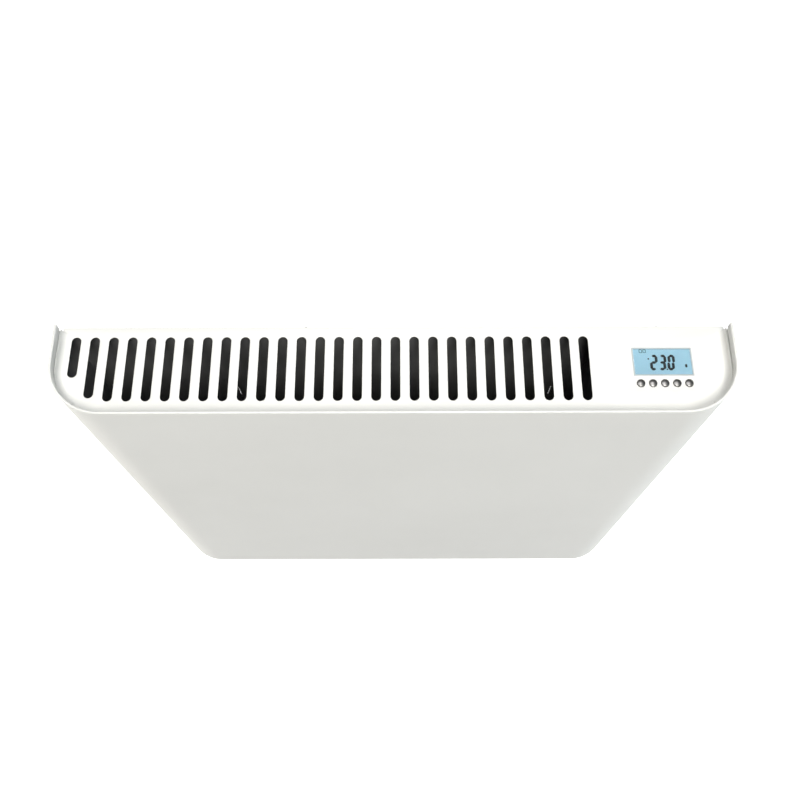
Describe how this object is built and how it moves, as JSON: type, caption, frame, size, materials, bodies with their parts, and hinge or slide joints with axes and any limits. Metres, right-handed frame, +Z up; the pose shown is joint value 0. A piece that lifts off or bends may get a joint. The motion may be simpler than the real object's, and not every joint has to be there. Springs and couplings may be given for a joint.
{
  "type": "wall panel convector heater",
  "caption": "Flat white wall-hung convector heater with rounded vertical corners, a slotted grille sunk inside its top rim, and a display with round keys at the right.",
  "frame": {"origin": "centre of the four wall bolts, on the wall plane", "axes": "+X to the right along the wall, +Y into the wall, +Z up; the front faces -Y"},
  "size_m": [0.6, 0.107, 0.5822],
  "materials": {
    "casing_paint": "satin powder coat",
    "tray_paint": "satin powder coat",
    "zinc_steel": "zinc coated",
    "element_aluminium": "mill finish",
    "sheath_steel": "satin",
    "white_ceramic": "matt",
    "black_rubber": "matt",
    "cutout_plastic": "matt",
    "bezel_plastic": "satin",
    "clear_lens": "clear",
    "display_blue": "satin",
    "diffuser": "matt",
    "circuit_board": "satin",
    "switch_plastic": "matt",
    "key_metallised": "metallised",
    "carrier_plastic": "matt",
    "fastener_steel": "zinc plated",
    "transformer_core": "varnished",
    "terminal_plastic": "matt",
    "ribbon_grey": "satin",
    "lead_brown": "satin",
    "lead_blue": "satin",
    "lead_green": "satin"
  },
  "bodies": {
    "wall_bracket": {"bracket_upright_left": "zinc_steel", "bracket_upright_right": "zinc_steel", "bracket_rail_upper": "zinc_steel", "bracket_rail_lower": "zinc_steel"},
    "heater": {"front_casing": "casing_paint", "top_grille": "casing_paint", "back_panel": "tray_paint", "inlet_grille": "tray_paint", "front_ledge": "tray_paint", "partition_plate": "zinc_steel", "heat_shield": "zinc_steel", "element_bracket_left": "zinc_steel", "element_bracket_right": "zinc_steel", "element_body": "element_aluminium", "element_sheath": "sheath_steel", "terminal_pins": "sheath_steel", "element_bush_left": "white_ceramic", "element_bush_right": "white_ceramic", "partition_bush": "black_rubber", "cord_grommet": "black_rubber", "thermal_cutout": "cutout_plastic", "display_bezel": "bezel_plastic", "display_lens": "clear_lens", "display_cell": "display_blue", "display_backlight": "diffuser", "display_board": "circuit_board", "power_board": "circuit_board", "tact_switches": "switch_plastic", "relay": "switch_plastic", "control_carrier": "carrier_plastic", "carrier_studs": "fastener_steel", "carrier_nuts": "fastener_steel", "board_standoffs": "fastener_steel", "board_screws": "fastener_steel", "rear_screws": "fastener_steel", "casing_screws": "fastener_steel", "earth_stud": "fastener_steel", "transformer": "transformer_core", "terminal_block": "terminal_plastic", "ribbon_cable": "ribbon_grey", "lead_live": "lead_brown", "lead_link": "lead_brown", "lead_neutral": "lead_blue", "lead_earth": "lead_green"},
    "key_button_1": {"key_1": "key_metallised", "key_plunger_1": "switch_plastic"},
    "key_button_2": {"key_2": "key_metallised", "key_plunger_2": "switch_plastic"},
    "key_button_3": {"key_3": "key_metallised", "key_plunger_3": "switch_plastic"},
    "key_button_4": {"key_4": "key_metallised", "key_plunger_4": "switch_plastic"},
    "key_button_5": {"key_5": "key_metallised", "key_plunger_5": "switch_plastic"}
  },
  "joints": [
    {"name": "lift_off", "type": "slide", "parent": "wall_bracket", "child": "heater", "axis": [0, 0, 1], "range_m": [0, 0.012]},
    {"name": "key_press_1", "type": "slide", "parent": "heater", "child": "key_button_1", "axis": [0, 0, -1], "range_m": [0, 0.0005], "stiffness_N_per_m": 600, "springref_m": -0.0005},
    {"name": "key_press_2", "type": "slide", "parent": "heater", "child": "key_button_2", "axis": [0, 0, -1], "range_m": [0, 0.0005], "stiffness_N_per_m": 600, "springref_m": -0.0005},
    {"name": "key_press_3", "type": "slide", "parent": "heater", "child": "key_button_3", "axis": [0, 0, -1], "range_m": [0, 0.0005], "stiffness_N_per_m": 600, "springref_m": -0.0005},
    {"name": "key_press_4", "type": "slide", "parent": "heater", "child": "key_button_4", "axis": [0, 0, -1], "range_m": [0, 0.0005], "stiffness_N_per_m": 600, "springref_m": -0.0005},
    {"name": "key_press_5", "type": "slide", "parent": "heater", "child": "key_button_5", "axis": [0, 0, -1], "range_m": [0, 0.0005], "stiffness_N_per_m": 600, "springref_m": -0.0005}
  ]
}
